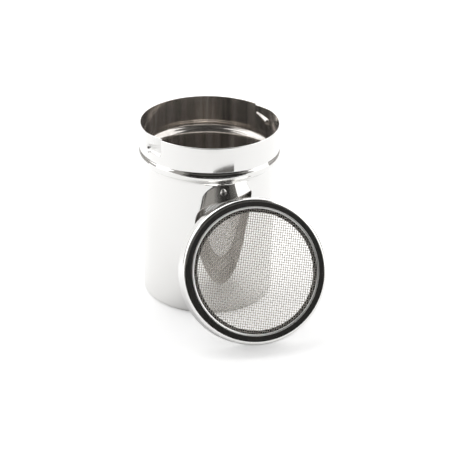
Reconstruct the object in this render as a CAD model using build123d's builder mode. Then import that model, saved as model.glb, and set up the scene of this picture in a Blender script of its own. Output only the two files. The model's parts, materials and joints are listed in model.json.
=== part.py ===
from build123d import *
from math import atan, ceil, cos, degrees, hypot, radians, sin, sqrt
import os

# A stainless steel shaker for spice, flour or cocoa, in millimetres.
# The origin is the centre of the canister's base, on the surface it stands on; +Z is up.
# The canister is one drawn cup: a straight body, a shoulder and bead, and a collar that
# carries two bayonet pockets. The mesh lid fits over the collar. It is off, and leans
# with its open side against the canister's wall, on the -Y side, turned towards +X.

# ---- sheet metal -------------------------------------------------------------
wall = 0.5  # thickness of every pressed part
bend_step = 30.0  # a bend is made of short cones, and turns at most this far from one to the next

# ---- canister ----------------------------------------------------------------
canister_height = 96.0
body_radius = 34.7
base_corner = 3.0  # outer radius between the base and the body
collar_radius = 36.5
collar_height = 13.2  # plain wall between the rim and the bead
bead_proud = 0.85  # how far the bead's crest stands out from the collar
bead_rise = 3.1  # height over which the collar swells to the crest
shoulder_height = 4.9  # height over which the crest draws in to the body

# ---- bayonet pockets, pressed into the collar from outside --------------------
pocket_count = 2
pocket_depth = 1.6
pocket_height = 8.5  # from the rim down to the pocket's floor
pocket_angle = -132.0  # where the step into the first pocket begins, from +X, seen from above
step_sweep = 3.0  # angle over which the step reaches full depth
fade_sweep = 18.0  # angle over which the pocket then runs out, the way the lid tightens
track_radius = 1.5  # half the height of the groove that guides a lug
track_depth = 2.1
track_entry_drop = 4.9  # below the rim, where the lug enters the groove
track_end_drop = 7.2  # below the rim, where the lug is home
track_entry_sweep = 5.0  # from the step's beginning to the groove's entry
track_sweep = 11.5  # the twist that closes the lid

# ---- lid -----------------------------------------------------------------------
collar_clearance = 0.3  # between the collar and the skirt
bead_clearance = 0.2  # between the seated skirt and the bead's foot
edge_round = 1.4  # outer radius between the skirt and the top
lug_tip_radius = 0.6  # of the flat end of the pressed lug
lug_flank = 45.0  # of the lug's cone, from its axis
lug_clearance = 0.3  # between a lug's tip and the pocket's deepest wall
lug_angle = 105.0  # round the lid from its level axis

# ---- mesh ------------------------------------------------------------------------
opening_radius = 29.8  # hole in the lid's top, under the mesh
mesh_radius = 31.85
wire_diameter = 0.36
wire_sides = 6
warp_pitch = 1.16
weft_pitch = 1.23
weave_turn = -11.5  # of the warp, from the lid's line of slope
clamp_wall = 0.4
clamp_round = 0.7  # outer radius of the clamp ring's rounded crest
clamp_lip_turn = 30.0  # how far the crest's round runs down towards the mesh
wire_gap = 0.1  # between the wires' ends and the middle of the ring's crest

# ---- how the lid leans -------------------------------------------------------------
lid_lean = 26.6  # of its top, back from upright
lid_turn = 12.5  # of its top, from -Y towards +X
touch_turn = 11.8  # round the rim, from its highest point to where it meets the canister
lean_clearance = 0.3

# ---- worked out ---------------------------------------------------------------------
bead_radius = collar_radius + bead_proud
body_top = canister_height - collar_height - bead_rise - shoulder_height
crest_height = body_top + shoulder_height
bead_foot = crest_height + bead_rise
skirt_inner = collar_radius + collar_clearance
skirt_outer = skirt_inner + wall
lid_height = collar_height + wall - bead_clearance
lug_tip = collar_radius - pocket_depth + lug_clearance
lug_height = lid_height - wall - track_end_drop
mesh_top = lid_height + 2 * wire_diameter
clamp_crest = mesh_radius + wire_gap
clamp_outer = clamp_crest + clamp_round
clamp_inner = clamp_outer - clamp_wall


def polar(radius, angle):
    """The point at this radius and angle, seen from above."""
    return (radius * cos(radians(angle)), radius * sin(radians(angle)))


def round_points(centre, radius, start, sweep=90):
    """Points of part of a circle, anticlockwise from the angle start."""
    steps = ceil(sweep / bend_step)
    turned = [polar(radius, start + sweep * step / steps) for step in range(steps + 1)]
    return [(centre[0] + across, centre[1] + up) for across, up in turned]


def s_bend(low, high):
    """Points of a bend between two upright walls: an arc away from one, and its twin back."""
    rise = high[1] - low[1]
    turn = 2 * atan((high[0] - low[0]) / rise)
    radius = rise / (2 * sin(turn))
    steps = ceil(abs(degrees(turn)) / bend_step)
    turns = [turn * step / steps for step in range(steps + 1)]
    arc = [(radius * (1 - cos(angle)), radius * sin(angle)) for angle in turns]
    lower = [(low[0] + across, low[1] + up) for across, up in arc]
    upper = [(high[0] - across, high[1] - up) for across, up in reversed(arc[:-1])]
    return lower + upper


def leaning_plane():
    """The lid's open rim: X is level, Y runs up the slope, Z points out of the lid's top.

    Seen from above the rim is an ellipse. It stands on its lowest point, and the place
    comes from the one point where the ellipse meets the canister's round wall.
    """
    turn, lean, touch = radians(lid_turn), radians(lid_lean), radians(90 + touch_turn)
    level = Vector(cos(turn), sin(turn), 0)
    back = Vector(-sin(turn), cos(turn), 0)
    rim_point = (skirt_outer * cos(touch), skirt_outer * sin(lean) * sin(touch))
    normal = (cos(touch) * sin(lean), sin(touch))
    reach = (body_radius + lean_clearance) / hypot(*normal)
    across = rim_point[0] + reach * normal[0]
    behind = rim_point[1] + reach * normal[1]
    centre = level * -across + back * -behind + Vector(0, 0, skirt_outer * cos(lean))
    out = back * -cos(lean) + Vector(0, 0, sin(lean))
    return Plane(origin=centre, x_dir=level, z_dir=out)


lid_plane = leaning_plane()
lid_axis = Axis(lid_plane.origin, lid_plane.z_dir)
lid_section = Plane(origin=lid_plane.origin, x_dir=lid_plane.x_dir, z_dir=-lid_plane.y_dir)
top_plane = lid_plane.offset(lid_height)


# ---- canister forms: a solid outside, and the space inside it -----------------------
def canister_form(inset, mouth):
    """The turned form of the canister, drawn in by inset all round and raised by mouth."""
    top = canister_height + mouth
    with BuildPart() as form:
        with BuildSketch(Plane.XZ):
            with BuildLine():
                Polyline(
                    (0, top),
                    (0, 0),
                    *round_points((body_radius - base_corner, base_corner), base_corner, -90),
                    *s_bend((body_radius, body_top), (bead_radius, crest_height)),
                    *s_bend((bead_radius, crest_height), (collar_radius, bead_foot))[1:],
                    (collar_radius, top),
                    (0, top),
                )
            half = make_face()
            mirror(half, about=Plane.YZ)
            if inset:
                offset(amount=-inset, kind=Kind.INTERSECTION)
            split(bisect_by=Plane.YZ, keep=Keep.TOP)
        revolve(axis=Axis.Z)
    return form.part


def pocket_form(grow):
    """One bayonet pocket and its groove, as the space they take, grown by grow."""
    floor = canister_height - pocket_height - grow
    deep = pocket_angle - step_sweep
    end = deep - fade_sweep
    beyond = collar_radius + 2 * pocket_depth
    deep_point = polar(collar_radius - pocket_depth, deep)
    step_point = polar(collar_radius, pocket_angle)
    outside = tuple(2 * s - d for s, d in zip(step_point, deep_point))
    middle = polar(collar_radius - pocket_depth / 2, (deep + end) / 2)
    entry = pocket_angle - track_entry_sweep
    track_line = collar_radius - track_depth + track_radius
    start = Vector(*polar(track_line, entry), canister_height - track_entry_drop)
    finish = Vector(*polar(track_line, entry - track_sweep), canister_height - track_end_drop)
    with BuildPart() as form:
        with BuildSketch(Plane.XY.offset(floor)):
            with BuildLine():
                Line(outside, deep_point)
                ThreePointArc(deep_point, middle, polar(collar_radius, end))
                Polyline(polar(collar_radius, end), polar(beyond, end - step_sweep), outside)
            make_face()
            if grow:
                offset(amount=grow, kind=Kind.INTERSECTION)
        extrude(amount=pocket_height + 2 * grow + wall)
        with BuildSketch(Plane(origin=start, z_dir=finish - start)):
            Circle(track_radius + grow)
        extrude(amount=(finish - start).length)
        with Locations(finish):
            Sphere(track_radius + grow)
    return form.part


inner_pocket = pocket_form(wall)
outer_pocket = pocket_form(0)

with BuildPart() as hollow:
    add(canister_form(wall, 2 * wall))
    with PolarLocations(0, pocket_count):
        add(inner_pocket, mode=Mode.SUBTRACT)

with BuildPart() as canister_body:
    add(canister_form(0, 0))
    with PolarLocations(0, pocket_count):
        add(outer_pocket, mode=Mode.SUBTRACT)
    add(hollow.part, mode=Mode.SUBTRACT)
canister_body.part.label = "canister_body"


# ---- lid: a pressed cap with a round opening, and two lugs inside its skirt ----------
def lug_cones(tip_distance, reach):
    """The lugs' form: cones that point at the lid's axis, with flat tips this far from it."""
    middle = lid_plane.from_local_coords((0, 0, lug_height))
    with BuildPart() as form:
        for turn in range(pocket_count):
            angle = lug_angle + 360 / pocket_count * turn
            tip = lid_plane.from_local_coords((*polar(tip_distance, angle), lug_height))
            with BuildSketch(Plane(origin=tip, z_dir=tip - middle)):
                Circle(lug_tip_radius)
            extrude(amount=reach, taper=-lug_flank)
    return form.part


with BuildPart() as lid_cap:
    with BuildSketch(lid_section):
        with BuildLine():
            corner = (skirt_outer - edge_round, lid_height - edge_round)
            Polyline(
                (skirt_outer, 0),
                *round_points(corner, edge_round, 0),
                (opening_radius, lid_height),
                (opening_radius, lid_height - wall),
                *reversed(round_points(corner, edge_round - wall, 0)),
                (skirt_inner, 0),
                (skirt_outer, 0),
            )
        make_face()
    revolve(axis=lid_axis)
    add(lug_cones(lug_tip, skirt_inner + wall / 2 - lug_tip))
    add(lug_cones(lug_tip + wall, skirt_outer - lug_tip), mode=Mode.SUBTRACT)
lid_cap.part.label = "lid_cap"


# ---- mesh: two layers of straight wire, the weft on the lid's flange, the warp on it -----
weave_x = top_plane.x_dir.rotate(lid_axis, weave_turn)
weave = Plane(origin=top_plane.origin, x_dir=weave_x, z_dir=top_plane.z_dir)


def wire_layer(across, along, pitch, height):
    """One layer of parallel wires, set out across the disc and each cut to its own chord."""
    wire_radius = wire_diameter / 2
    per_side = int((mesh_radius - wire_diameter) / pitch)
    with BuildPart() as layer:
        for index in range(-per_side, per_side + 1):
            place = index * pitch
            half_chord = sqrt(mesh_radius**2 - (abs(place) + wire_diameter) ** 2)
            origin = weave.origin + weave.z_dir * height + across * place
            with BuildSketch(Plane(origin=origin, x_dir=across, z_dir=along)):
                RegularPolygon(wire_radius, wire_sides, major_radius=False)
            extrude(amount=half_chord, both=True)
    return layer.part


with BuildPart() as mesh_weft_wires:
    add(wire_layer(weave.y_dir, weave.x_dir, weft_pitch, wire_diameter / 2))
mesh_weft_wires.part.label = "mesh_weft_wires"

with BuildPart() as mesh_warp_wires:
    add(wire_layer(weave.x_dir, weave.y_dir, warp_pitch, wire_diameter * 3 / 2))
mesh_warp_wires.part.label = "mesh_warp_wires"


# ---- clamp ring: a wall round the mesh, and a rounded crest whose lip holds it down ------
with BuildPart() as mesh_clamp_ring:
    with BuildSketch(lid_section):
        with BuildLine():
            crest = (clamp_crest, mesh_top + clamp_wall - clamp_round)
            outside = round_points(crest, clamp_round, 0, 90 + clamp_lip_turn)
            Polyline(
                (clamp_outer, lid_height),
                *outside,
                (outside[-1][0], mesh_top),
                (clamp_inner, mesh_top),
                (clamp_inner, lid_height),
                (clamp_outer, lid_height),
            )
        make_face()
    revolve(axis=lid_axis)
mesh_clamp_ring.part.label = "mesh_clamp_ring"


os.makedirs("parts", exist_ok=True)
export_step(canister_body.part, "parts/canister_body.step")
export_step(lid_cap.part, "parts/lid_cap.step")
export_step(mesh_weft_wires.part, "parts/mesh_weft_wires.step")
export_step(mesh_warp_wires.part, "parts/mesh_warp_wires.step")
export_step(mesh_clamp_ring.part, "parts/mesh_clamp_ring.step")
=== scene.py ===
import json
from math import atan, ceil, cos, hypot, pi, radians, sin, sqrt

import bmesh
import bpy
import numpy as np
from mathutils import Matrix, Vector


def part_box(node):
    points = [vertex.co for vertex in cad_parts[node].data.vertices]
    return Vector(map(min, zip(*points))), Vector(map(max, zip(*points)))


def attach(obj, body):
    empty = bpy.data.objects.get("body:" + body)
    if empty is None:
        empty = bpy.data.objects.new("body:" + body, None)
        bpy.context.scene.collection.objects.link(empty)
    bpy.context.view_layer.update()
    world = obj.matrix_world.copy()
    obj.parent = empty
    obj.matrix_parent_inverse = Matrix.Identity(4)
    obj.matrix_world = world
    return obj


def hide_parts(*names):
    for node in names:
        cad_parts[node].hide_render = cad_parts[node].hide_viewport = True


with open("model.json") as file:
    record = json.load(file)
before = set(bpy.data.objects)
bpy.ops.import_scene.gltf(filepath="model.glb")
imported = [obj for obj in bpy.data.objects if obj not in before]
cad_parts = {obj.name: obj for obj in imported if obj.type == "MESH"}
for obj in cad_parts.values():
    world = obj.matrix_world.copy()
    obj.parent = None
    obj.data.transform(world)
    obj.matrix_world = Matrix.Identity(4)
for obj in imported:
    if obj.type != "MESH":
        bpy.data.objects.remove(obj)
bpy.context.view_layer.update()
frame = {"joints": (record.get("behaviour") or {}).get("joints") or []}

# A polished steel shaker and its mesh lid, in metres, in the frame's own place.

# ---- sheet metal ---------------------------------------------------------------------
wall = 0.0005

# ---- canister ------------------------------------------------------------------------
canister_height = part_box("canister_body")[1][2]
bead_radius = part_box("canister_body")[1][0]
body_radius = 0.0347
base_corner = 0.003
collar_radius = 0.0365
collar_height = 0.0132
bead_rise = 0.0031
bead_share = 0.7  # of the rise, below the point where the bend turns back
shoulder_height = 0.0049

# ---- bayonet pockets: angles in degrees from +X, drops in metres below the rim ---------
pocket_count = 2
pocket_depth = 0.0016
pocket_height = 0.0085
pocket_angle = -132.0
pocket_edge = 0.0009  # height over which the pocket's floor meets the collar
step_sweep = 3.0
fade_sweep = 18.0
track_flat = 0.0004
track_flank = 0.0021
track_depth = 0.0019
track_entry_drop = 0.0049
track_end_drop = 0.0072
track_entry_sweep = 5.0
track_sweep = 11.5

# ---- lid -----------------------------------------------------------------------------
lid_centre = Vector((0.0217103, -0.0476263, 0.0333520))  # of the open rim
lid_axis = Vector(frame["joints"][0]["axis"]).normalized()
skirt_inner = 0.0368
lid_height = 0.0135
edge_round = 0.0022
opening_radius = 0.0298
lug_tip_radius = 0.0006
lug_depth = 0.0016
lug_height = 0.0058
lug_angle = 105.0

# ---- mesh and its clamp ring ---------------------------------------------------------
mesh_radius = 0.03185
wire_diameter = 0.00036
warp_pitch = 0.00116
weft_pitch = 0.00123
weave_turn = -11.5
clamp_wall = 0.0004
clamp_gap = 0.0004  # from the mesh's edge to the ring's wall
clamp_round = 0.00018  # outside the crest
clamp_slope = 0.00165  # radius of the wider curve inside it
clamp_slope_start = 13.0  # degrees
clamp_slope_turn = 30.0
clamp_lip = 0.0001  # how far the slope's end reaches in past the ring's underside

# ---- how finely the surfaces are made --------------------------------------------------
coarse_turn = 1.5  # degrees between columns on plain stretches
fine_turn = 0.3  # degrees between columns at pockets and lugs
pocket_margin = 1.0  # degrees of fine columns past a pocket's two ends
lug_span = 4.0  # degrees of fine columns on each side of a lug
lug_rise = 1.5 * lug_depth  # height of the fine rows over and under a lug's middle
fine_rise = 0.0003  # height of a fine row
bend_steps = 10
rim_steps = 8
edge_steps = 6
slope_steps = 12
support = 0.0001  # from a straight run's end to the extra point near it
sharp_turn = 40.0  # degrees
same_place = wall / 1000  # points nearer than this are one
wire_sides = 6
steps_per_crossing = 4
card_columns = 33
card_rows = 17

# ---- studio: distances in metres, angles in degrees from -Y or over the floor --------------
floor_half = 3.0
floor_drop = 0.00005  # keeps the floor clear of the canister's base
floor_grey = 0.8
floor_seen = 0.46  # light that is added to the floor for the camera
floor_in_steel = (0.23, 0.24)  # light that is added for the steel, in front and at the sides
floor_turns = (0.25, 1.15)  # radians from -Y, between which the one changes to the other
shaded_place = (0.012, -0.045, 0)  # between the canister and the lid
shaded_reach = (0.015, 0.055)  # distances from it where added light starts and is full
sky_strength = 1.45
lamp_power = 2.5
lamp_width = 0.9
lamp_place = (-0.5, 0.3, 1.2)
warm_tint = (1, 0.97, 0.93)
back_reach = 1.5  # the cards' distances: a nearer card hides one behind it
dark_reach = 1.6
dim_reach = 1.62
side_reach = 1.64
edge_reach = 1.66
card_foot = 0.5
card_top = 89.9
dark = 0.03
dark_turns = (-30, 44)
dark_tips = (-41, 62)  # where the dark runs out to a narrow end on each side
dark_top = 29
dim_foot = 28.5
left_turns = (-46, -28)
left_tip = -66
left_top = 62
left_greys = (0.4, 0.1)
left_fade = 40
right_turns = (42, 52)
right_tip = 74
right_top = 58
right_greys = (0.36, 0.15)
right_fade = 5
sector_height = 0.0003

# ---- worked out ------------------------------------------------------------------------
body_top = canister_height - collar_height - bead_rise - shoulder_height
crest_height = body_top + shoulder_height
bead_foot = crest_height + bead_rise
pocket_foot = canister_height - pocket_height - pocket_edge
pocket_starts = [pocket_angle + 360 / pocket_count * turn for turn in range(pocket_count)]
lug_places = [lug_angle + 360 / pocket_count * turn for turn in range(pocket_count)]
rim = wall / 2  # radius of a sheet's rounded edge
skirt_outer = skirt_inner + wall
mesh_top = lid_height + 2 * wire_diameter
clamp_inner = mesh_radius + clamp_gap
clamp_outer = clamp_inner + clamp_wall
clamp_crest = clamp_outer - clamp_round
clamp_top = mesh_top + clamp_wall

# the lid's own directions: level across, up its slope, and out of its top
lid_level = Vector((-lid_axis.y, lid_axis.x, 0)).normalized()
lid_slope = lid_axis.cross(lid_level)
lid_basis = np.array([lid_level, lid_slope, lid_axis])


# ---- curves in a section, as arrays of (radius, height) ----------------------------------
def straight(start, end, steps=1):
    """Evenly spaced points on the line from start to end, and one more close to each end.

    The close ones keep the smooth shading of a bend from spreading along the straight run.
    They lie at most a quarter of the run from its ends.
    """
    length = hypot(end[0] - start[0], end[1] - start[1])
    close = min(support / length, 0.25)
    share = np.union1d(np.linspace(0, 1, steps + 1), (close, 1 - close))[:, None]
    return (1 - share) * np.array(start) + share * np.array(end)


def arc(centre, radius, start, end, steps=bend_steps):
    """The centre plus radius times the cosine and sine of evenly spaced angles, in degrees."""
    angle = np.radians(np.linspace(start, end, steps + 1))
    return np.array(centre) + radius * np.column_stack((np.cos(angle), np.sin(angle)))


def s_bend(low, high, share=0.5, steps=bend_steps):
    """Two arcs, tangent to upright lines at low and high and to each other where they meet.

    Each arc turns by twice the arctangent of the step out over the rise. The lower one takes
    this share of the rise.
    """
    rise = high[1] - low[1]
    turn = 2 * atan((high[0] - low[0]) / rise)
    radius = rise / sin(turn)
    angle = turn * np.linspace(0, 1, steps + 1)
    unit = radius * np.column_stack((1 - np.cos(angle), np.sin(angle)))
    return np.vstack((low + share * unit, high - (1 - share) * unit[-2::-1]))


def joined(*runs):
    """The runs end to end, with each point that repeats the one before it left out."""
    points = np.vstack(runs)
    step = np.linalg.norm(np.diff(points, axis=0), axis=1)
    return points[np.concatenate(([True], step > same_place))]


def moved_left(profile, distance):
    """Each point moved square to the mean direction of the two runs that meet at it."""
    runs = np.diff(profile, axis=0)
    runs /= np.linalg.norm(runs, axis=1)[:, None]
    mean = np.vstack((runs[:1], runs[1:] + runs[:-1], runs[-1:]))
    mean /= np.linalg.norm(mean, axis=1)[:, None]
    return profile + distance * np.column_stack((-mean[:, 1], mean[:, 0]))


def smooth_step(value):
    """0 below 0, 1 above 1, and 3 t squared less 2 t cubed between."""
    value = np.clip(value, 0, 1)
    return value * value * (3 - 2 * value)


# ---- carrying a section round an axis ------------------------------------------------------
def angles_round(spans):
    """Angles round a full turn in degrees: coarse steps, and fine ones within the spans."""
    coarse = np.arange(0, 360, coarse_turn)
    fine = []
    for start, end in spans:
        coarse = coarse[(coarse - start) % 360 > end - start]
        fine.append(np.arange(start, end + fine_turn / 2, fine_turn) % 360)
    return np.sort(np.concatenate((coarse, *fine)))


def turned(profile, angles, inset=None):
    """Each (radius, height) at each angle: x and y are radius times cosine and sine.

    inset gives how far the wall is drawn in towards the axis at an angle and a height.
    """
    radius, height = profile[:, :1], profile[:, 1:]
    angle = angles[None, :]
    if inset:
        radius = radius - inset(angle, height)
    turn = np.radians(angle)
    across, back = radius * np.cos(turn), radius * np.sin(turn)
    return np.stack((across, back, np.broadcast_to(height, across.shape)), axis=2)


def in_lid(points):
    """Points in the lid's own directions, moved to where the lid leans."""
    return points @ lid_basis + np.array(lid_centre)


def distance_round(angles, radius):
    """How far round a circle each angle is, with the first one again after a full turn."""
    return np.radians(np.append(angles, 360 + angles[0])) * radius


def distance_along(profile, closed):
    """How far along the profile each point is, with the closing run added for a ring."""
    if closed:
        profile = np.vstack((profile, profile[:1]))
    runs = np.linalg.norm(np.diff(profile, axis=0), axis=1)
    return np.concatenate(([0], np.cumsum(runs)))


# ---- meshes --------------------------------------------------------------------------------
def grid_piece(
    name, points, around, along, materials, body, replaced, ring=True, inside_from=None,
    pressed=None,
):
    """A closed skin over points[row, column], whose last column joins its first.

    With ring the last row joins the first; without it the first and last rows are poles,
    each drawn together to one point. around and along are the surface map's two distances.
    Rows from inside_from on take the second material. pressed[row, column] is how deep a
    press has marked the sheet there, from 0 to 1.
    """
    rows, columns = points.shape[:2]
    row, column = np.indices((rows if ring else rows - 1, columns)).reshape(2, -1)
    row_corners = np.stack((row, row, row + 1, row + 1), axis=1)
    column_corners = np.stack((column, column + 1, column + 1, column), axis=1)
    faces = (row_corners % rows) * columns + column_corners % columns
    uv = np.stack((around[column_corners], along[row_corners]), axis=2)
    vertices = points.reshape(-1, 3)
    first, second, third, fourth = (vertices[faces[:, corner]] for corner in range(4))
    volume = np.sum(first * (np.cross(second, third) + np.cross(third, fourth)))
    if volume < 0:
        faces, uv = faces[:, ::-1], uv[:, ::-1]
    mesh = bpy.data.meshes.new(name)
    mesh.from_pydata(vertices.tolist(), [], faces.tolist())
    mesh.shade_smooth()
    mesh.uv_layers.new(name="surface").data.foreach_set("uv", uv.ravel())
    for material in materials:
        mesh.materials.append(material)
    if pressed is not None:
        press_depths = mesh.attributes.new("pressed", "FLOAT", "POINT")
        press_depths.data.foreach_set("value", pressed.ravel())
    if inside_from is not None:
        mesh.polygons.foreach_set("material_index", (row >= inside_from).astype(np.int32))
    whole = bmesh.new()
    whole.from_mesh(mesh)
    bmesh.ops.remove_doubles(whole, verts=whole.verts, dist=same_place)
    whole.to_mesh(mesh)
    whole.free()
    mesh.set_sharp_from_angle(angle=radians(sharp_turn))
    put_in_place(name, mesh, body, replaced)


def put_in_place(name, mesh, body, replaced):
    """Makes the mesh an object that rides on its body in place of its CAD node."""
    piece = bpy.data.objects.new(name, mesh)
    bpy.context.scene.collection.objects.link(piece)
    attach(piece, body)
    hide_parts(replaced)


# ---- canister --------------------------------------------------------------------------------
def pocket_inset(angle, height):
    """How far the collar is pressed in: the pocket's depth, or the groove's where it is deeper.

    The pocket steps in over its first few degrees, then runs out evenly, and ends below at
    its floor. The groove's depth is full along the line between its two ends, and falls in a
    smooth step with the distance from that line.
    """
    drop = canister_height - height
    above_floor = smooth_step((pocket_height - drop) / pocket_edge + 0.5)
    metres_per_degree = collar_radius * radians(1)
    end_across = track_sweep * metres_per_degree
    end_down = track_end_drop - track_entry_drop
    depth = np.zeros(np.broadcast_shapes(angle.shape, height.shape))
    for start in pocket_starts:
        past_step = (start - angle) % 360
        step = smooth_step(past_step / step_sweep)
        fade = 1 - np.clip((past_step - step_sweep) / fade_sweep, 0, 1)
        pocket = pocket_depth * step * fade * above_floor
        across = (past_step - track_entry_sweep) * metres_per_degree
        down = drop - track_entry_drop
        along = (across * end_across + down * end_down) / hypot(end_across, end_down) ** 2
        share = np.clip(along, 0, 1)
        away = np.hypot(across - share * end_across, down - share * end_down)
        groove = track_depth * (1 - smooth_step((away - track_flat) / track_flank))
        depth = np.maximum(depth, np.maximum(pocket, groove))
    return depth


def canister_profile():
    """The outside from the base's centre up to the rim, the round rim, and the inside back down."""
    outside = joined(
        straight((0, 0), (body_radius - base_corner, 0), steps=6),
        arc((body_radius - base_corner, base_corner), base_corner, -90, 0),
        straight((body_radius, base_corner), (body_radius, body_top), steps=8),
        s_bend((body_radius, body_top), (bead_radius, crest_height)),
        s_bend((bead_radius, crest_height), (collar_radius, bead_foot), bead_share),
        straight((collar_radius, bead_foot), (collar_radius, pocket_foot), steps=2),
        straight(
            (collar_radius, pocket_foot),
            (collar_radius, canister_height - rim),
            steps=ceil(pocket_height / fine_rise),
        ),
    )
    inside = moved_left(outside, wall)[::-1]
    edge = arc((collar_radius - rim, canister_height - rim), rim, 0, 180, rim_steps)
    return joined(outside, edge, inside), len(outside) + rim_steps // 2


def make_canister(materials):
    """The canister's profile carried round its axis, with the pockets pressed into the collar."""
    profile, rim_row = canister_profile()
    sweep = step_sweep + fade_sweep
    spans = [(start - sweep - pocket_margin, start + pocket_margin) for start in pocket_starts]
    angles = angles_round(spans)
    pressed = np.clip(pocket_inset(angles[None, :], profile[:, 1:]) / pocket_depth, 0, 1)
    grid_piece(
        "canister", turned(profile, angles, pocket_inset), distance_round(angles, body_radius),
        distance_along(profile, closed=False), materials, "canister", "canister_body",
        ring=False, inside_from=rim_row, pressed=pressed,
    )


# ---- lid ---------------------------------------------------------------------------------------
def lug_inset(angle, height):
    """How far the skirt is pressed in at a lug: full at its tip, and less in step with distance."""
    depth = 0
    for place in lug_places:
        away = (angle - place + 180) % 360 - 180
        distance = np.hypot(np.radians(away) * skirt_inner, height - lug_height)
        depth = depth + lug_depth * (1 - smooth_step((distance - lug_tip_radius) / lug_depth))
    return depth


def lid_profile():
    """A ring: up the skirt's outside, over the rounded edge, in to the opening and back."""
    corner = (skirt_outer - edge_round, lid_height - edge_round)
    lug_low, lug_high = lug_height - lug_rise, lug_height + lug_rise
    lug_rows = ceil((lug_high - lug_low) / fine_rise)

    def skirt(radius):
        return joined(
            straight((radius, rim), (radius, lug_low), steps=2),
            straight((radius, lug_low), (radius, lug_high), steps=lug_rows),
            straight((radius, lug_high), (radius, corner[1]), steps=3),
        )

    def plate(start, end, height):
        return straight((start, height), (end, height), steps=4)

    outside = joined(
        skirt(skirt_outer),
        arc(corner, edge_round, 0, 90),
        plate(corner[0], opening_radius + rim, lid_height),
        arc((opening_radius + rim, lid_height - rim), rim, 90, 270, edge_steps),
    )
    inside = joined(
        plate(opening_radius + rim, corner[0], lid_height - wall),
        arc(corner, edge_round - wall, 90, 0),
        skirt(skirt_inner)[::-1],
    )
    edge = arc((skirt_inner + rim, rim), rim, 180, 360, edge_steps)[:-1]
    return joined(outside, inside, edge), len(outside)


def make_lid_cap(materials):
    """The lid's profile carried round the lid's axis, with the lugs pressed into the skirt."""
    profile, inside_row = lid_profile()
    angles = angles_round([(place - lug_span, place + lug_span) for place in lug_places])
    pressed = lug_inset(angles[None, :], profile[:, 1:]) / lug_depth
    grid_piece(
        "lid_pressing", in_lid(turned(profile, angles, lug_inset)),
        distance_round(angles, skirt_outer), distance_along(profile, closed=True), materials,
        "lid", "lid_cap", inside_from=inside_row, pressed=pressed,
    )


def make_clamp_ring(materials):
    """A wall round the mesh's edge, a rounded crest, and a wide curve in and down to the wires."""
    start = radians(clamp_slope_start)
    centre = (clamp_crest + clamp_slope * sin(start), clamp_top - clamp_slope * cos(start))
    slope_angle = 90 + clamp_slope_start
    slope = arc(centre, clamp_slope, slope_angle, slope_angle + clamp_slope_turn, slope_steps)
    profile = joined(
        straight((clamp_outer, lid_height), (clamp_outer, clamp_top - clamp_round)),
        arc((clamp_crest, clamp_top - clamp_round), clamp_round, 0, 90, rim_steps),
        slope,
        straight((slope[-1][0] + clamp_lip, mesh_top), (clamp_inner, mesh_top)),
        straight((clamp_inner, mesh_top), (clamp_inner, lid_height)),
    )
    angles = angles_round([])
    grid_piece(
        "mesh_rim", in_lid(turned(profile, angles)), distance_round(angles, clamp_crest),
        distance_along(profile, closed=True), materials, "lid", "mesh_clamp_ring",
    )


# ---- woven mesh ----------------------------------------------------------------------------------
def make_wires(name, replaced, material, pitch, crossing, is_warp, side):
    """Parallel round wires that pass over and under those that cross them.

    A wire's centre line rises and falls by half a diameter as the cosine of pi times the
    crossings passed, and its neighbour is one crossing out of step. Round the centre line
    lie circles that stay square to it.
    """
    turn = radians(weave_turn)
    weave_x = lid_level * np.cos(turn) + lid_slope * np.sin(turn)
    weave_y = lid_axis.cross(weave_x)
    across_axis, along_axis = (weave_x, weave_y) if is_warp else (weave_y, weave_x)
    basis = np.array([across_axis, along_axis, lid_axis])
    radius = wire_diameter / 2
    circle = 2 * pi * np.arange(wire_sides) / wire_sides
    per_side = int((mesh_radius - wire_diameter) / pitch)
    vertices, faces, base = [], [], 0
    for index in range(-per_side, per_side + 1):
        place = index * pitch
        half = sqrt(mesh_radius**2 - (abs(place) + wire_diameter) ** 2)
        along = np.linspace(-half, half, ceil(2 * half / crossing * steps_per_crossing) + 1)
        phase = pi * (along / crossing + index)
        height = lid_height + wire_diameter + side * radius * np.cos(phase)
        slope = -side * radius * pi / crossing * np.sin(phase)
        square = 1 / np.hypot(1, slope)
        up = np.cos(circle)[None, :] * square[:, None] * radius
        local = np.stack(
            (
                np.broadcast_to(place + radius * np.sin(circle), up.shape),
                along[:, None] - up * slope[:, None],
                height[:, None] + up,
            ),
            axis=2,
        )
        vertices.append(local.reshape(-1, 3) @ basis + np.array(lid_centre))
        ring, spoke = np.indices((len(along) - 1, wire_sides)).reshape(2, -1)
        after = (spoke + 1) % wire_sides
        start, end = base + ring * wire_sides, base + (ring + 1) * wire_sides
        faces += np.stack((start + spoke, start + after, end + after, end + spoke), axis=1).tolist()
        last = base + (len(along) - 1) * wire_sides
        faces += [list(range(base, base + wire_sides))[::-1], list(range(last, last + wire_sides))]
        base = last + wire_sides
    if is_warp:
        faces = [face[::-1] for face in faces]
    mesh = bpy.data.meshes.new(name)
    mesh.from_pydata(np.vstack(vertices).tolist(), [], faces)
    mesh.shade_smooth()
    mesh.materials.append(material)
    put_in_place(name, mesh, "lid", replaced)


# ---- shader nodes --------------------------------------------------------------------------------
def node(tree, kind, place, inputs=(), **settings):
    """A new node with its settings; each input is linked to an output or set to a value."""
    made = tree.nodes.new(kind)
    made.location = place
    for name, value in settings.items():
        setattr(made, name, value)
    for name, value in dict(inputs).items():
        if isinstance(value, bpy.types.NodeSocket):
            tree.links.new(value, made.inputs[name])
        else:
            made.inputs[name].default_value = value
    return made


def result_of(tree, place, operation, *values):
    """What a Math node makes of these values, each an output or a number."""
    return node(tree, "ShaderNodeMath", place, enumerate(values), operation=operation).outputs[0]


def vector_result(tree, place, operation, *values):
    """The outputs of a Vector Math node for these values, each an output or three numbers."""
    return node(tree, "ShaderNodeVectorMath", place, enumerate(values), operation=operation).outputs


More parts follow.
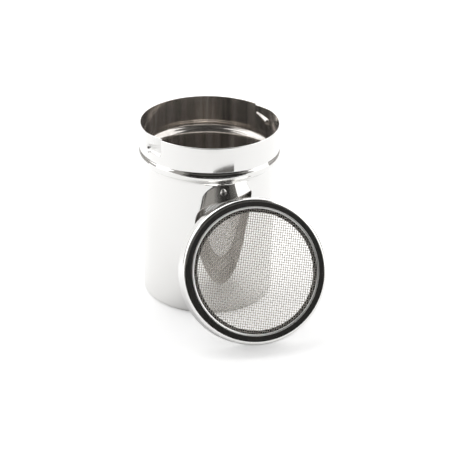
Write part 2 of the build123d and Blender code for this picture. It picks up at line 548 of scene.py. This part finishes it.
def scaled(tree, place, color, factor):
    """The colour times the factor."""
    inputs = {0: color, "Scale": factor}
    return node(tree, "ShaderNodeVectorMath", place, inputs, operation="SCALE").outputs["Vector"]


def ranged(tree, place, value, before, after, interpolation="LINEAR"):
    """The value carried over from one range to the other, and kept within its ends."""
    inputs = {
        "Value": value,
        "From Min": before[0],
        "From Max": before[1],
        "To Min": after[0],
        "To Max": after[1],
    }
    made = node(tree, "ShaderNodeMapRange", place, inputs, interpolation_type=interpolation)
    return made.outputs[0]


def noise(tree, place, where, stretch, detail):
    """Noise over coordinates that are first multiplied by the stretch."""
    placed = {"Vector": where, "Scale": stretch}
    stretched = node(tree, "ShaderNodeMapping", place, placed).outputs["Vector"]
    inputs = {"Vector": stretched, "Scale": 1, "Detail": detail}
    return node(tree, "ShaderNodeTexNoise", (place[0] + 200, place[1]), inputs).outputs["Fac"]


# ---- finishes and painted shade ----------------------------------------------------------------
def wear_and_reflection_bands_group():
    """What all the steel shares: fine drawn lines along the surface, soft smears and long bands.

    The lines are noise stretched a hundred times along the surface map's first direction.
    The smears are soft noise in space. Both change the roughness, and the lines change the
    height. The bands are noise stretched along the axis, about a mean of one, for the colour:
    painted streaks of reflection, which also stand for drawing marks. They are full on upright
    walls and fade to none on level ones.
    """
    tree = bpy.data.node_groups.new("wear_and_reflection_bands", "ShaderNodeTree")
    for name in ("Roughness", "Lines", "Smears", "Bands"):
        tree.interface.new_socket(name=name, in_out="INPUT", socket_type="NodeSocketFloat")
    for name in ("Roughness", "Height", "Shade"):
        tree.interface.new_socket(name=name, in_out="OUTPUT", socket_type="NodeSocketFloat")
    given = node(tree, "NodeGroupInput", (-900, 0)).outputs
    where = node(tree, "ShaderNodeTexCoord", (-900, 400)).outputs
    lines = noise(tree, (-700, 500), where["UV"], stretch=(90, 9000, 1), detail=2)
    smeared = {"Vector": where["Object"], "Scale": 70, "Detail": 4, "Distortion": 0.6}
    smears = node(tree, "ShaderNodeTexNoise", (-500, 200), smeared).outputs["Fac"]
    line_part = result_of(tree, (-200, 400), "MULTIPLY", lines, given["Lines"])
    smear_part = result_of(tree, (-200, 200), "MULTIPLY", smears, given["Smears"])
    both = result_of(tree, (0, 300), "ADD", line_part, smear_part)
    given_roughness = given["Roughness"]
    roughness = result_of(
        tree, (200, 200), "MULTIPLY_ADD", both, given_roughness, given_roughness
    )
    # The bands are painted streaks of reflection in the colour, and also stand for drawing marks.
    bands = noise(tree, (-700, -200), where["Object"], stretch=(170, 170, 5), detail=2)
    centred = result_of(tree, (-200, -200), "SUBTRACT", bands, 0.5)
    facing = node(tree, "ShaderNodeSeparateXYZ", (-700, -500), {0: where["Normal"]}).outputs
    level = result_of(tree, (-500, -500), "ABSOLUTE", facing["Z"])
    upright = result_of(tree, (-350, -500), "SUBTRACT", 1, level)
    strength = result_of(tree, (-200, -500), "MULTIPLY", upright, given["Bands"])
    shade = result_of(tree, (0, -200), "MULTIPLY_ADD", centred, strength, 1)
    outputs = {"Roughness": roughness, "Height": line_part, "Shade": shade}
    node(tree, "NodeGroupOutput", (700, 0), outputs)
    return tree


def over_plate_group():
    """A mask that is 1 over the lid's plate, from its opening to the mesh's edge, else 0; it places
    painted shade.

    It goes by the distance from the lid's axis, and its two edges are each half a wire wide.
    """
    tree = bpy.data.node_groups.new("over_plate", "ShaderNodeTree")
    tree.interface.new_socket(name="Mask", in_out="OUTPUT", socket_type="NodeSocketFloat")
    where = node(tree, "ShaderNodeTexCoord", (-700, 0)).outputs["Object"]
    from_centre = vector_result(tree, (-500, 0), "SUBTRACT", where, lid_centre)["Vector"]
    across = vector_result(tree, (-300, 0), "CROSS_PRODUCT", from_centre, lid_axis)["Vector"]
    distance = vector_result(tree, (-100, 0), "LENGTH", across)["Value"]
    blur = wire_diameter / 4
    opening_edge = (opening_radius - blur, opening_radius + blur)
    mesh_edge = (mesh_radius - blur, mesh_radius + blur)
    past_opening = ranged(tree, (200, 0), distance, opening_edge, (0, 1))
    within_mesh = ranged(tree, (200, 200), distance, mesh_edge, (1, 0))
    mask = result_of(tree, (400, 0), "MULTIPLY", past_opening, within_mesh)
    node(tree, "NodeGroupOutput", (600, 0), {"Mask": mask})
    return tree


def steel(name, group, color, roughness, lines, smears, relief, metallic=1, bands=0):
    """A metal of this colour; the group gives its shade, its roughness and its bump's height."""
    material = bpy.data.materials.new(name)
    material.use_nodes = True
    tree = material.node_tree
    surface = tree.nodes["Principled BSDF"]
    surface.inputs["Metallic"].default_value = metallic
    wear_and_bands_in = {"Roughness": roughness, "Lines": lines, "Smears": smears, "Bands": bands}
    wear_and_bands_out = node(tree, "ShaderNodeGroup", (-500, 0), wear_and_bands_in, node_tree=group).outputs
    shaded = scaled(tree, (-250, 200), color, wear_and_bands_out["Shade"])
    relief_inputs = {"Strength": 1, "Distance": relief, "Height": wear_and_bands_out["Height"]}
    bump = node(tree, "ShaderNodeBump", (-250, -200), relief_inputs)
    tree.links.new(shaded, surface.inputs["Base Color"])
    tree.links.new(wear_and_bands_out["Roughness"], surface.inputs["Roughness"])
    tree.links.new(bump.outputs["Normal"], surface.inputs["Normal"])
    return material


def scaled_color(material, factor):
    """The base colour times a factor from another node."""
    tree = material.node_tree
    base_color = tree.nodes["Principled BSDF"].inputs["Base Color"]
    before = base_color.links[0].from_socket
    tree.links.new(scaled(tree, (-100, 400), before, factor), base_color)


def painted_shade_by(material, mask, kept):
    """Painted shade: where the mask is 1, the colour falls to this share of itself."""
    scaled_color(material, ranged(material.node_tree, (-300, 500), mask, (0, 1), (1, kept)))


def painted_shade_where(material, group, kept):
    """Painted shade: where the group's mask is 1, the colour falls to this share of itself."""
    zone = node(material.node_tree, "ShaderNodeGroup", (-500, 500), node_tree=group)
    painted_shade_by(material, zone.outputs["Mask"], kept)


def painted_shade_underneath(material, kept):
    """Painted shade: where the surface faces the canister, the colour falls to this share of
    itself.

    The share goes by the normal's part along the lid's axis.
    """
    turned_away = (-0.5, 0.1)  # the part at which the colour has fallen, and that it falls from
    tree = material.node_tree
    normal = node(tree, "ShaderNodeTexCoord", (-900, 800)).outputs["Normal"]
    facing = vector_result(tree, (-700, 800), "DOT_PRODUCT", normal, lid_axis)["Value"]
    share = ranged(tree, (-500, 800), facing, turned_away, (kept, 1), "SMOOTHSTEP")
    scaled_color(material, share)


def rougher_and_shaded_where_pressed(material, rougher, kept):
    """The press leaves its marks rougher by this much, and painted shade takes their colour to this
    share of itself.
    """
    tree = material.node_tree
    roughness = tree.nodes["Principled BSDF"].inputs["Roughness"]
    before = roughness.links[0].from_socket
    press_depths = node(tree, "ShaderNodeAttribute", (-500, -500), attribute_name="pressed")
    depth = press_depths.outputs["Fac"]
    more = result_of(tree, (-250, -400), "MULTIPLY_ADD", depth, rougher, before)
    tree.links.new(more, roughness)
    painted_shade_by(material, depth, kept)


# ---- studio --------------------------------------------------------------------------------------
def make_camera():
    """The camera looks from its place at a point near the canister's middle, a little rolled."""
    place = Vector((0, -0.76758, 0.410131))
    aim = Vector((0.0106237, -0.0042329, 0.0363825))
    roll = radians(1.284)
    forward = (aim - place).normalized()
    right = forward.cross(Vector((0, 0, 1))).normalized()
    up = right.cross(forward)
    level = Matrix((right, up, -forward)).transposed().to_4x4()
    data = bpy.data.cameras.new("camera")
    data.lens = 125.45
    data.sensor_width = 36
    camera = bpy.data.objects.new("camera", data)
    camera.matrix_world = Matrix.Translation(place) @ level @ Matrix.Rotation(roll, 4, "Z")
    bpy.context.scene.collection.objects.link(camera)
    bpy.context.scene.camera = camera


def plain_material(name, color):
    """A matt material of one colour for the studio."""
    material = bpy.data.materials.new(name)
    material.use_nodes = True
    surface = material.node_tree.nodes["Principled BSDF"]
    surface.inputs["Base Color"].default_value = (*color, 1)
    surface.inputs["Roughness"].default_value = 1
    surface.inputs["Specular IOR Level"].default_value = 0
    return material


def graded_material(name, low, high, low_height, high_height):
    """A matt material that goes from one colour to another between two heights."""
    material = plain_material(name, low)
    tree = material.node_tree
    where = node(tree, "ShaderNodeTexCoord", (-900, 0)).outputs["Object"]
    height = node(tree, "ShaderNodeSeparateXYZ", (-750, 0), {0: where}).outputs["Z"]
    share = ranged(tree, (-600, 0), height, (low_height, high_height), (0, 1), "SMOOTHSTEP")
    mixed = {"Factor": share, "A": (*low, 1), "B": (*high, 1)}
    mix = node(tree, "ShaderNodeMix", (-400, 0), mixed, data_type="RGBA")
    base_color = tree.nodes["Principled BSDF"].inputs["Base Color"]
    tree.links.new(mix.outputs["Result"], base_color)
    return material


def grey(value):
    """A slightly warm grey."""
    return tuple(value * part for part in warm_tint)


def stage_piece(name, vertices, faces, material):
    """A part of the studio, attached to none of the object's bodies."""
    mesh = bpy.data.meshes.new(name)
    mesh.from_pydata(vertices, [], faces)
    mesh.materials.append(material)
    piece = bpy.data.objects.new(name, mesh)
    bpy.context.scene.collection.objects.link(piece)
    return piece


def reflected_piece(name, points, faces, material):
    """A part of the studio that the steel reflects and the camera doesn't see."""
    piece = stage_piece(name, points.reshape(-1, 3).tolist(), faces.tolist(), material)
    piece.visible_camera = False
    return piece


def make_card(name, distance, turns, low, high, greys, fade=0):
    """A patch of a sphere round the object.

    turns are its two sides, in degrees from -Y towards +X. low and high are degrees above
    the floor, and each may be a pair, for its value at the two sides. The first grey changes
    to the second upwards from fade.
    """
    low, high = np.broadcast_to(low, 2), np.broadcast_to(high, 2)
    turn = np.radians(np.linspace(*turns, card_columns))[None, :]
    share = np.linspace(0, 1, card_rows)[:, None]
    foot, head = np.linspace(*low, card_columns), np.linspace(*high, card_columns)
    lift = np.radians((1 - share) * foot + share * head)
    points = distance * np.stack(
        (np.cos(lift) * np.sin(turn), -np.cos(lift) * np.cos(turn), np.sin(lift)), axis=2
    )
    row, column = np.indices((card_rows - 1, card_columns - 1)).reshape(2, -1)
    first = row * card_columns + column
    above = first + card_columns
    faces = np.stack((first, first + 1, above + 1, above), axis=1)
    low_height, high_height = (
        distance * sin(radians(angle)) for angle in (max(*low, fade), max(high))
    )
    low_grey, high_grey = (grey(value) for value in greys)
    material = graded_material(name, low_grey, high_grey, low_height, high_height)
    return reflected_piece(name, points, faces, material)


def make_sector(name, near, far, turns, value):
    """A flat part of a ring just over the floor, between two angles.

    near and far are its distances from the canister's axis. Each may be a list of them, for
    evenly spaced angles from the first of turns to the second.
    """
    share = np.linspace(0, 1, card_columns)
    turn = np.radians(turns[0] + share * (turns[1] - turns[0]))

    def edge(distances):
        distances = np.atleast_1d(distances)
        distance = np.interp(share, np.linspace(0, 1, len(distances)), distances)
        return np.column_stack((distance * np.sin(turn), -distance * np.cos(turn)))

    flat = np.vstack((edge(near), edge(far)))
    points = np.column_stack((flat, np.full(len(flat), sector_height)))
    first = np.arange(card_columns - 1)
    above = first + card_columns
    faces = np.column_stack((first, above, above + 1, first + 1))
    return reflected_piece(name, points, faces, plain_material(name, grey(value)))


def floor_material():
    """A matt floor that the camera and the steel see a little lighter, so that it ends up white.

    The steel sees a little less of that light in front than past both sides: its strength
    goes by the angle round the canister. It sees none between the canister and the lid.
    """
    material = plain_material("floor_white", (floor_grey, floor_grey, floor_grey))
    tree = material.node_tree
    surface = tree.nodes["Principled BSDF"]
    surface.inputs["Emission Color"].default_value = (1, 1, 1, 1)
    where = node(tree, "ShaderNodeTexCoord", (-1300, -300)).outputs["Object"]
    apart = node(tree, "ShaderNodeSeparateXYZ", (-1150, -300), {0: where}).outputs
    sideways = result_of(tree, (-1000, -200), "ABSOLUTE", apart["X"])
    forward = result_of(tree, (-1000, -400), "MULTIPLY", apart["Y"], -1)
    angle = result_of(tree, (-850, -300), "ARCTAN2", sideways, forward)
    by_angle = ranged(tree, (-700, -300), angle, floor_turns, floor_in_steel, "SMOOTHSTEP")
    away = vector_result(tree, (-1000, -700), "DISTANCE", where, shaded_place)["Value"]
    clear = ranged(tree, (-850, -700), away, shaded_reach, (0, 1), "SMOOTHSTEP")
    added = result_of(tree, (-500, -300), "MULTIPLY", by_angle, clear)
    path = node(tree, "ShaderNodeLightPath", (-700, -600)).outputs
    rays = path["Is Glossy Ray"], path["Is Transmission Ray"]
    mirrored = result_of(tree, (-500, -500), "MAXIMUM", *rays)
    in_steel = result_of(tree, (-350, -400), "MULTIPLY", added, mirrored)
    seen = path["Is Camera Ray"]
    whole = result_of(tree, (-200, -400), "MULTIPLY_ADD", seen, floor_seen, in_steel)
    tree.links.new(whole, surface.inputs["Emission Strength"])
    return material


def make_front_cards():
    """Dark cards in front, dim ones over them and past both sides, and greyer edges behind.

    The dark and the two edges each go on past their sides to a narrow tip.
    """
    dark_left, dark_right = dark_turns
    dark_greys = (dark, dark)
    make_card("dark_front", dark_reach, dark_turns, card_foot, dark_top, dark_greys)
    make_card(
        "dark_left_tip", dark_reach, (dark_tips[0], dark_left),
        low=(9, card_foot), high=(12, dark_top), greys=dark_greys,
    )
    make_card(
        "dark_right_tip", dark_reach, (dark_right, dark_tips[1]),
        low=(card_foot, 6), high=(dark_top, 9), greys=dark_greys,
    )
    make_card("dim_front", dim_reach, (-42, 55), dim_foot, card_top, greys=(0.12, 0.04))
    make_card("dim_left", side_reach, (-100, -40), 56, card_top, greys=(0.14, 0.1))
    make_card("dim_right", side_reach, (53, 110), (56, 62), card_top, greys=(0.2, 0.1))
    make_card("left_edge", edge_reach, left_turns, card_foot, left_top, left_greys, left_fade)
    make_card(
        "left_edge_tip", edge_reach, (left_tip, left_turns[0]),
        low=(6, card_foot), high=(8, left_top), greys=left_greys, fade=left_fade,
    )
    make_card(
        "right_edge", edge_reach, right_turns, card_foot, right_top, right_greys, right_fade
    )
    make_card(
        "right_edge_tip", edge_reach, (right_turns[1], right_tip),
        low=(card_foot, 5), high=(right_top, 7), greys=right_greys, fade=right_fade,
    )


def make_cards_for_steel():
    """Parts of the floor, and cards low behind the object, that only mirrored light meets."""
    dark_near = (0.7, 0.36, 0.275, 0.262, 0.262, 0.275, 0.36, 0.7)
    grey_far = (0.2225, 0.2268, 0.2294, 0.2303, 0.2298)
    made = [
        make_sector("dark_floor", dark_near, far=1.7, turns=(-44, 58), value=dark),
        make_sector("grey_floor", 0.19, grey_far, turns=(6, 38), value=0.15),
    ]
    for side, low_start in ((-1, 90), (1, 105)):
        card_turns, sector_turns = (side * low_start, side * 180), (side * 105, side * 180)
        made.append(make_card("back_low", back_reach, card_turns, 0.2, 14, greys=(0.25, 0.6)))
        made.append(make_sector("back_floor", 0.4, far=1.48, turns=sector_turns, value=0.36))
    for card in made:
        card.visible_diffuse = False
        card.visible_shadow = False


def make_sky():
    """An even white sky."""
    world = bpy.data.worlds.new("white_sky")
    world.use_nodes = True
    sky = world.node_tree.nodes["Background"]
    sky.inputs["Color"].default_value = (1, 1, 1, 1)
    sky.inputs["Strength"].default_value = sky_strength
    bpy.context.scene.world = world


def make_lamp():
    """One large soft lamp, turned towards the middle of the canister's base."""
    data = bpy.data.lights.new("soft_lamp", "AREA")
    data.shape = "DISK"
    data.size = lamp_width
    data.energy = lamp_power
    lamp = bpy.data.objects.new("soft_lamp", data)
    lamp.location = lamp_place
    lamp.rotation_euler = (-lamp.location).to_track_quat("-Z", "Y").to_euler()
    bpy.context.scene.collection.objects.link(lamp)


def make_studio():
    """A white floor and sky, one large soft lamp, and cards for the steel to reflect."""
    corners = [
        (side_x * floor_half, side_y * floor_half, -floor_drop)
        for side_x, side_y in ((-1, -1), (1, -1), (1, 1), (-1, 1))
    ]
    stage_piece("floor", corners, [(0, 1, 2, 3)], floor_material())
    make_front_cards()
    make_cards_for_steel()
    make_sky()
    make_lamp()
    bpy.context.scene.view_settings.view_transform = "Standard"


make_camera()
wear_and_reflection_bands = wear_and_reflection_bands_group()
bright = (0.91, 0.905, 0.89)
polished = {"lines": 0.5, "smears": 0.7, "relief": 0.0000004}
drawn = {"lines": 0.8, "smears": 0.5, "relief": 0.000001}
woven = {"lines": 0.2, "smears": 0.5, "relief": 0.0000004}
outer_steel = steel("polished_steel", wear_and_reflection_bands, bright, roughness=0.032, **polished)
# The canister's inside has a darker colour than its outside as painted shade, and strong bands of
# painted reflection streaks that also stand for drawing marks; its rougher drawn finish is real.
inner_steel = steel(
    "drawn_and_shaded_inner_steel", wear_and_reflection_bands, color=(0.7, 0.665, 0.63), roughness=0.075, **drawn,
    metallic=0.88, bands=2.2,
)
lid_steel = steel("lid_polished_steel", wear_and_reflection_bands, bright, roughness=0.05, **polished)
# The lid's inside has a much darker colour than its outside as painted shade, for the shaded gap
# towards the canister.
shaded_lid_inner_steel = steel(
    "shaded_lid_inner_steel", wear_and_reflection_bands, color=(0.46, 0.44, 0.42), roughness=0.17, **drawn,
    metallic=0.95,
)
ring_steel = steel("clamp_ring_steel", wear_and_reflection_bands, bright, roughness=0.2, **polished)
wire_steel = steel(
    "wire_steel", wear_and_reflection_bands, color=(0.95, 0.9, 0.83), roughness=0.13, **woven, metallic=0.75
)
over_plate = over_plate_group()
# Painted shade on the wires over the plate, and near black on the plate under them.
painted_shade_where(wire_steel, over_plate, kept=0.55)
painted_shade_where(lid_steel, over_plate, kept=0.03)
# Painted shade, faint in the pockets' pressed hollows and deep in the lugs' dimples; their added
# roughness is real.
rougher_and_shaded_where_pressed(outer_steel, rougher=0.42, kept=0.97)
rougher_and_shaded_where_pressed(lid_steel, rougher=0.4, kept=0.17)
# Painted shade on the wires' undersides, which face the canister.
painted_shade_underneath(wire_steel, kept=0.25)
make_canister([outer_steel, inner_steel])
make_lid_cap([lid_steel, shaded_lid_inner_steel])
make_clamp_ring([ring_steel])
make_wires(
    "woven_weft", "mesh_weft_wires", wire_steel, weft_pitch, warp_pitch, is_warp=False, side=-1
)
make_wires(
    "woven_warp", "mesh_warp_wires", wire_steel, warp_pitch, weft_pitch, is_warp=True, side=1
)
make_studio()
